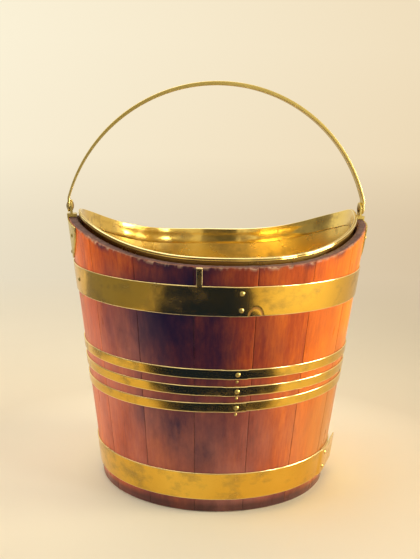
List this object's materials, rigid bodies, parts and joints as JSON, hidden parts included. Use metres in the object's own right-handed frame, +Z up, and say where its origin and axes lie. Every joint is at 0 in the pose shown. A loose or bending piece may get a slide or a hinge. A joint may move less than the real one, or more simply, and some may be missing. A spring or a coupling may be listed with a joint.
{
  "type": "peat bucket",
  "caption": "Round tapered wooden bucket bound with brass hoops, with a saddle-shaped rim, a lift-out brass liner and a swinging brass strip bail for carrying fuel.",
  "frame": {"origin": "on the floor, under the middle of the bucket", "axes": "+Z up along the bucket's axis, +X along the bail's pivot axis to the right ear, the front of the bucket towards -Y"},
  "size_m": [0.3558, 0.3423, 0.47],
  "materials": {
    "mahogany": "old French polish, worn at the rim",
    "hoop_brass": "polished, with tarnish at the edges",
    "fastener_brass": "dull polished",
    "handle_brass": "polished",
    "liner_brass": "polished sheet, unevenly tarnished inside"
  },
  "bodies": {
    "bucket": {"stave_01": "mahogany", "stave_02": "mahogany", "stave_03": "mahogany", "stave_04": "mahogany", "stave_05": "mahogany", "stave_06": "mahogany", "stave_07": "mahogany", "stave_08": "mahogany", "stave_09": "mahogany", "stave_10": "mahogany", "stave_11": "mahogany", "stave_12": "mahogany", "stave_13": "mahogany", "stave_14": "mahogany", "stave_15": "mahogany", "stave_16": "mahogany", "bottom_board": "mahogany", "top_hoop": "hoop_brass", "narrow_hoop_upper": "hoop_brass", "narrow_hoop_middle": "hoop_brass", "narrow_hoop_lower": "hoop_brass", "bottom_hoop": "hoop_brass", "top_hoop_rivets": "fastener_brass", "narrow_hoop_rivets": "fastener_brass", "bottom_hoop_rivets": "fastener_brass", "hoop_nails": "fastener_brass", "ear_rivets_left": "fastener_brass", "ear_rivets_right": "fastener_brass", "ear_left": "handle_brass", "ear_right": "handle_brass", "pivot_left": "handle_brass", "pivot_right": "handle_brass"},
    "bail": {"bail": "handle_brass"},
    "liner": {"liner_wall": "liner_brass", "liner_base": "liner_brass", "liner_rim": "liner_brass", "liner_collar": "liner_brass"}
  },
  "joints": [
    {"name": "bail_swing", "type": "hinge", "parent": "bucket", "child": "bail", "pos_m": [0, 0, 0.324], "axis": [1, 0, 0], "range_deg": [-90, 90]},
    {"name": "liner_lift", "type": "slide", "parent": "bucket", "child": "liner", "axis": [0, 0, 1], "range_m": [0, 0.0028]}
  ]
}
